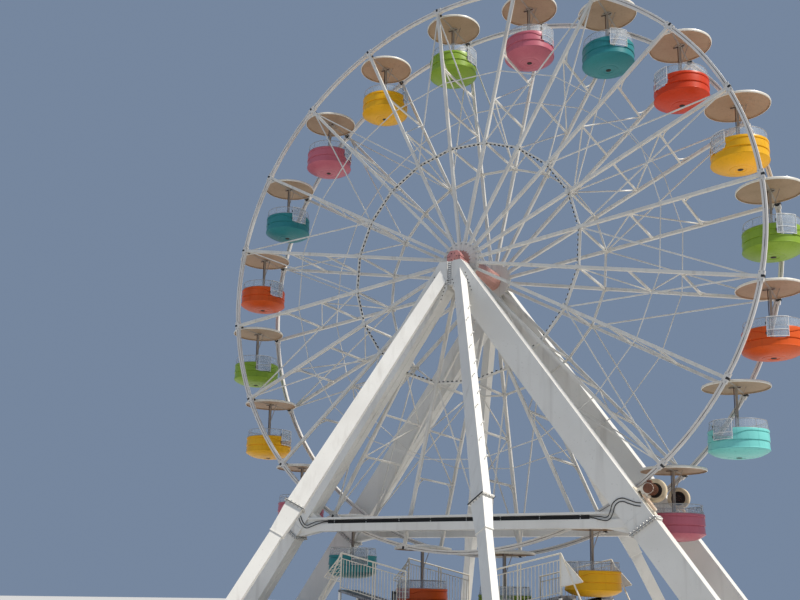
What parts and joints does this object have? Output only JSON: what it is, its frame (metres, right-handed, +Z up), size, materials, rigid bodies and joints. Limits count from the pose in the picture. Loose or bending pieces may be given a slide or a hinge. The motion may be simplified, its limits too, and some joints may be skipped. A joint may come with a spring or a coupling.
{
  "type": "ferris wheel",
  "caption": "Fairground ferris wheel: an open steel wheel on two propped A-frames, with round canopied tubs that stay level as it turns, tyre drive and a low boarding platform.",
  "frame": {"origin": "on the ground under the middle of the wheel's axle", "axes": "+Z up, +Y along the axle from the front frame to the back frame, +X to the right seen from the front"},
  "size_m": [20.142, 15.658, 21.2759],
  "materials": {
    "white_steel": "satin off-white paint",
    "rim_steel": "satin light grey-white paint",
    "dark_steel": "dark machine paint",
    "hub_red": "satin red-pink paint",
    "canopy_cream": "weathered cream laminate",
    "drive_tyre": "pale cream wheel and tyre",
    "deck": "grey chequer plate",
    "cable_black": "black cable sheath",
    "tub_yellow": "gloss laminate, sun-faded",
    "tub_green": "gloss laminate, sun-faded",
    "tub_orange": "gloss laminate, sun-faded",
    "tub_teal": "gloss laminate, sun-faded",
    "tub_pink": "gloss laminate, sun-faded",
    "tub_red": "gloss laminate, sun-faded",
    "tub_turquoise": "gloss laminate, sun-faded"
  },
  "bodies": {
    "structure": {"front_a_frame": "white_steel", "front_cross_beam": "white_steel", "front_left_prop": "white_steel", "front_right_prop": "white_steel", "front_drive_unit": "dark_steel", "back_a_frame": "white_steel", "back_cross_beam": "white_steel", "back_left_prop": "white_steel", "back_right_prop": "white_steel", "back_drive_unit": "dark_steel", "boarding_platform": "deck", "front_cables": "cable_black"},
    "wheel": {"hub": "hub_red", "cross_struts": "white_steel", "front_rim": "rim_steel", "front_lattice": "white_steel", "back_rim": "rim_steel", "back_lattice": "white_steel"},
    "front_tyre": {"front_drive_tyre": "drive_tyre"},
    "back_tyre": {"back_drive_tyre": "drive_tyre"},
    "cabin_00": {"hanger_00": "canopy_cream"},
    "cabin_tub_00": {"tub_00": "tub_pink"},
    "cabin_01": {"hanger_01": "canopy_cream"},
    "cabin_tub_01": {"tub_01": "tub_yellow"},
    "cabin_02": {"hanger_02": "canopy_cream"},
    "cabin_tub_02": {"tub_02": "tub_green"},
    "cabin_03": {"hanger_03": "canopy_cream"},
    "cabin_tub_03": {"tub_03": "tub_orange"},
    "cabin_04": {"hanger_04": "canopy_cream"},
    "cabin_tub_04": {"tub_04": "tub_teal"},
    "cabin_05": {"hanger_05": "canopy_cream"},
    "cabin_tub_05": {"tub_05": "tub_pink"},
    "cabin_06": {"hanger_06": "canopy_cream"},
    "cabin_tub_06": {"tub_06": "tub_yellow"},
    "cabin_07": {"hanger_07": "canopy_cream"},
    "cabin_tub_07": {"tub_07": "tub_green"},
    "cabin_08": {"hanger_08": "canopy_cream"},
    "cabin_tub_08": {"tub_08": "tub_pink"},
    "cabin_09": {"hanger_09": "canopy_cream"},
    "cabin_tub_09": {"tub_09": "tub_teal"},
    "cabin_10": {"hanger_10": "canopy_cream"},
    "cabin_tub_10": {"tub_10": "tub_red"},
    "cabin_11": {"hanger_11": "canopy_cream"},
    "cabin_tub_11": {"tub_11": "tub_yellow"},
    "cabin_12": {"hanger_12": "canopy_cream"},
    "cabin_tub_12": {"tub_12": "tub_green"},
    "cabin_13": {"hanger_13": "canopy_cream"},
    "cabin_tub_13": {"tub_13": "tub_orange"},
    "cabin_14": {"hanger_14": "canopy_cream"},
    "cabin_tub_14": {"tub_14": "tub_turquoise"},
    "cabin_15": {"hanger_15": "canopy_cream"},
    "cabin_tub_15": {"tub_15": "tub_pink"},
    "cabin_16": {"hanger_16": "canopy_cream"},
    "cabin_tub_16": {"tub_16": "tub_yellow"},
    "cabin_17": {"hanger_17": "canopy_cream"},
    "cabin_tub_17": {"tub_17": "tub_green"},
    "cabin_18": {"hanger_18": "canopy_cream"},
    "cabin_tub_18": {"tub_18": "tub_orange"},
    "cabin_19": {"hanger_19": "canopy_cream"},
    "cabin_tub_19": {"tub_19": "tub_teal"}
  },
  "joints": [
    {"name": "wheel_spin", "type": "hinge", "parent": "structure", "child": "wheel", "pos_m": [0, 0, 12], "axis": [0, 1, 0], "continuous": true},
    {"name": "front_tyre_spin", "type": "hinge", "parent": "structure", "child": "front_tyre", "pos_m": [5.99488, -1.18, 4.48116], "axis": [0, 1, 0], "continuous": true},
    {"name": "back_tyre_spin", "type": "hinge", "parent": "structure", "child": "back_tyre", "pos_m": [5.99488, 1.18, 4.48116], "axis": [0, 1, 0], "continuous": true},
    {"name": "cabin_00_level", "type": "hinge", "parent": "wheel", "child": "cabin_00", "pos_m": [-6.81432, 0, 5.81898], "axis": [0, 1, 0], "continuous": true},
    {"name": "cabin_01_level", "type": "hinge", "parent": "wheel", "child": "cabin_01", "pos_m": [-8.39085, 0, 8.22724], "axis": [0, 1, 0], "continuous": true},
    {"name": "cabin_02_level", "type": "hinge", "parent": "wheel", "child": "cabin_02", "pos_m": [-9.14602, 0, 11.00481], "axis": [0, 1, 0], "continuous": true},
    {"name": "cabin_03_level", "type": "hinge", "parent": "wheel", "child": "cabin_03", "pos_m": [-9.00591, 0, 13.87979], "axis": [0, 1, 0], "continuous": true},
    {"name": "cabin_04_level", "type": "hinge", "parent": "wheel", "child": "cabin_04", "pos_m": [-7.98424, 0, 16.57077], "axis": [0, 1, 0], "continuous": true},
    {"name": "cabin_05_level", "type": "hinge", "parent": "wheel", "child": "cabin_05", "pos_m": [-6.18102, 0, 18.81432], "axis": [0, 1, 0], "continuous": true},
    {"name": "cabin_06_level", "type": "hinge", "parent": "wheel", "child": "cabin_06", "pos_m": [-3.77276, 0, 20.39085], "axis": [0, 1, 0], "continuous": true},
    {"name": "cabin_07_level", "type": "hinge", "parent": "wheel", "child": "cabin_07", "pos_m": [-0.99519, 0, 21.14602], "axis": [0, 1, 0], "continuous": true},
    {"name": "cabin_08_level", "type": "hinge", "parent": "wheel", "child": "cabin_08", "pos_m": [1.87979, 0, 21.00591], "axis": [0, 1, 0], "continuous": true},
    {"name": "cabin_09_level", "type": "hinge", "parent": "wheel", "child": "cabin_09", "pos_m": [4.57077, 0, 19.98424], "axis": [0, 1, 0], "continuous": true},
    {"name": "cabin_10_level", "type": "hinge", "parent": "wheel", "child": "cabin_10", "pos_m": [6.81432, 0, 18.18102], "axis": [0, 1, 0], "continuous": true},
    {"name": "cabin_11_level", "type": "hinge", "parent": "wheel", "child": "cabin_11", "pos_m": [8.39085, 0, 15.77276], "axis": [0, 1, 0], "continuous": true},
    {"name": "cabin_12_level", "type": "hinge", "parent": "wheel", "child": "cabin_12", "pos_m": [9.14602, 0, 12.99519], "axis": [0, 1, 0], "continuous": true},
    {"name": "cabin_13_level", "type": "hinge", "parent": "wheel", "child": "cabin_13", "pos_m": [9.00591, 0, 10.12021], "axis": [0, 1, 0], "continuous": true},
    {"name": "cabin_14_level", "type": "hinge", "parent": "wheel", "child": "cabin_14", "pos_m": [7.98424, 0, 7.42923], "axis": [0, 1, 0], "continuous": true},
    {"name": "cabin_15_level", "type": "hinge", "parent": "wheel", "child": "cabin_15", "pos_m": [6.18102, 0, 5.18568], "axis": [0, 1, 0], "continuous": true},
    {"name": "cabin_16_level", "type": "hinge", "parent": "wheel", "child": "cabin_16", "pos_m": [3.77276, 0, 3.60915], "axis": [0, 1, 0], "continuous": true},
    {"name": "cabin_17_level", "type": "hinge", "parent": "wheel", "child": "cabin_17", "pos_m": [0.99519, 0, 2.85398], "axis": [0, 1, 0], "continuous": true},
    {"name": "cabin_18_level", "type": "hinge", "parent": "wheel", "child": "cabin_18", "pos_m": [-1.87979, 0, 2.99409], "axis": [0, 1, 0], "continuous": true},
    {"name": "cabin_19_level", "type": "hinge", "parent": "wheel", "child": "cabin_19", "pos_m": [-4.57077, 0, 4.01576], "axis": [0, 1, 0], "continuous": true},
    {"name": "tub_00_spin", "type": "hinge", "parent": "cabin_00", "child": "cabin_tub_00", "pos_m": [-6.81432, 0, 5.81898], "axis": [0, 0, 1], "continuous": true},
    {"name": "tub_01_spin", "type": "hinge", "parent": "cabin_01", "child": "cabin_tub_01", "pos_m": [-8.39085, 0, 8.22724], "axis": [0, 0, 1], "continuous": true},
    {"name": "tub_02_spin", "type": "hinge", "parent": "cabin_02", "child": "cabin_tub_02", "pos_m": [-9.14602, 0, 11.00481], "axis": [0, 0, 1], "continuous": true},
    {"name": "tub_03_spin", "type": "hinge", "parent": "cabin_03", "child": "cabin_tub_03", "pos_m": [-9.00591, 0, 13.87979], "axis": [0, 0, 1], "continuous": true},
    {"name": "tub_04_spin", "type": "hinge", "parent": "cabin_04", "child": "cabin_tub_04", "pos_m": [-7.98424, 0, 16.57077], "axis": [0, 0, 1], "continuous": true},
    {"name": "tub_05_spin", "type": "hinge", "parent": "cabin_05", "child": "cabin_tub_05", "pos_m": [-6.18102, 0, 18.81432], "axis": [0, 0, 1], "continuous": true},
    {"name": "tub_06_spin", "type": "hinge", "parent": "cabin_06", "child": "cabin_tub_06", "pos_m": [-3.77276, 0, 20.39085], "axis": [0, 0, 1], "continuous": true},
    {"name": "tub_07_spin", "type": "hinge", "parent": "cabin_07", "child": "cabin_tub_07", "pos_m": [-0.99519, 0, 21.14602], "axis": [0, 0, 1], "continuous": true},
    {"name": "tub_08_spin", "type": "hinge", "parent": "cabin_08", "child": "cabin_tub_08", "pos_m": [1.87979, 0, 21.00591], "axis": [0, 0, 1], "continuous": true},
    {"name": "tub_09_spin", "type": "hinge", "parent": "cabin_09", "child": "cabin_tub_09", "pos_m": [4.57077, 0, 19.98424], "axis": [0, 0, 1], "continuous": true},
    {"name": "tub_10_spin", "type": "hinge", "parent": "cabin_10", "child": "cabin_tub_10", "pos_m": [6.81432, 0, 18.18102], "axis": [0, 0, 1], "continuous": true},
    {"name": "tub_11_spin", "type": "hinge", "parent": "cabin_11", "child": "cabin_tub_11", "pos_m": [8.39085, 0, 15.77276], "axis": [0, 0, 1], "continuous": true},
    {"name": "tub_12_spin", "type": "hinge", "parent": "cabin_12", "child": "cabin_tub_12", "pos_m": [9.14602, 0, 12.99519], "axis": [0, 0, 1], "continuous": true},
    {"name": "tub_13_spin", "type": "hinge", "parent": "cabin_13", "child": "cabin_tub_13", "pos_m": [9.00591, 0, 10.12021], "axis": [0, 0, 1], "continuous": true},
    {"name": "tub_14_spin", "type": "hinge", "parent": "cabin_14", "child": "cabin_tub_14", "pos_m": [7.98424, 0, 7.42923], "axis": [0, 0, 1], "continuous": true},
    {"name": "tub_15_spin", "type": "hinge", "parent": "cabin_15", "child": "cabin_tub_15", "pos_m": [6.18102, 0, 5.18568], "axis": [0, 0, 1], "continuous": true},
    {"name": "tub_16_spin", "type": "hinge", "parent": "cabin_16", "child": "cabin_tub_16", "pos_m": [3.77276, 0, 3.60915], "axis": [0, 0, 1], "continuous": true},
    {"name": "tub_17_spin", "type": "hinge", "parent": "cabin_17", "child": "cabin_tub_17", "pos_m": [0.99519, 0, 2.85398], "axis": [0, 0, 1], "continuous": true},
    {"name": "tub_18_spin", "type": "hinge", "parent": "cabin_18", "child": "cabin_tub_18", "pos_m": [-1.87979, 0, 2.99409], "axis": [0, 0, 1], "continuous": true},
    {"name": "tub_19_spin", "type": "hinge", "parent": "cabin_19", "child": "cabin_tub_19", "pos_m": [-4.57077, 0, 4.01576], "axis": [0, 0, 1], "continuous": true}
  ],
  "couplings": [
    {"joint": "front_tyre_spin", "follows": "wheel_spin", "ratio": -28.57},
    {"joint": "back_tyre_spin", "follows": "wheel_spin", "ratio": -28.57},
    {"joint": "cabin_00_level", "follows": "wheel_spin", "ratio": -1},
    {"joint": "cabin_01_level", "follows": "wheel_spin", "ratio": -1},
    {"joint": "cabin_02_level", "follows": "wheel_spin", "ratio": -1},
    {"joint": "cabin_03_level", "follows": "wheel_spin", "ratio": -1},
    {"joint": "cabin_04_level", "follows": "wheel_spin", "ratio": -1},
    {"joint": "cabin_05_level", "follows": "wheel_spin", "ratio": -1},
    {"joint": "cabin_06_level", "follows": "wheel_spin", "ratio": -1},
    {"joint": "cabin_07_level", "follows": "wheel_spin", "ratio": -1},
    {"joint": "cabin_08_level", "follows": "wheel_spin", "ratio": -1},
    {"joint": "cabin_09_level", "follows": "wheel_spin", "ratio": -1},
    {"joint": "cabin_10_level", "follows": "wheel_spin", "ratio": -1},
    {"joint": "cabin_11_level", "follows": "wheel_spin", "ratio": -1},
    {"joint": "cabin_12_level", "follows": "wheel_spin", "ratio": -1},
    {"joint": "cabin_13_level", "follows": "wheel_spin", "ratio": -1},
    {"joint": "cabin_14_level", "follows": "wheel_spin", "ratio": -1},
    {"joint": "cabin_15_level", "follows": "wheel_spin", "ratio": -1},
    {"joint": "cabin_16_level", "follows": "wheel_spin", "ratio": -1},
    {"joint": "cabin_17_level", "follows": "wheel_spin", "ratio": -1},
    {"joint": "cabin_18_level", "follows": "wheel_spin", "ratio": -1},
    {"joint": "cabin_19_level", "follows": "wheel_spin", "ratio": -1}
  ]
}
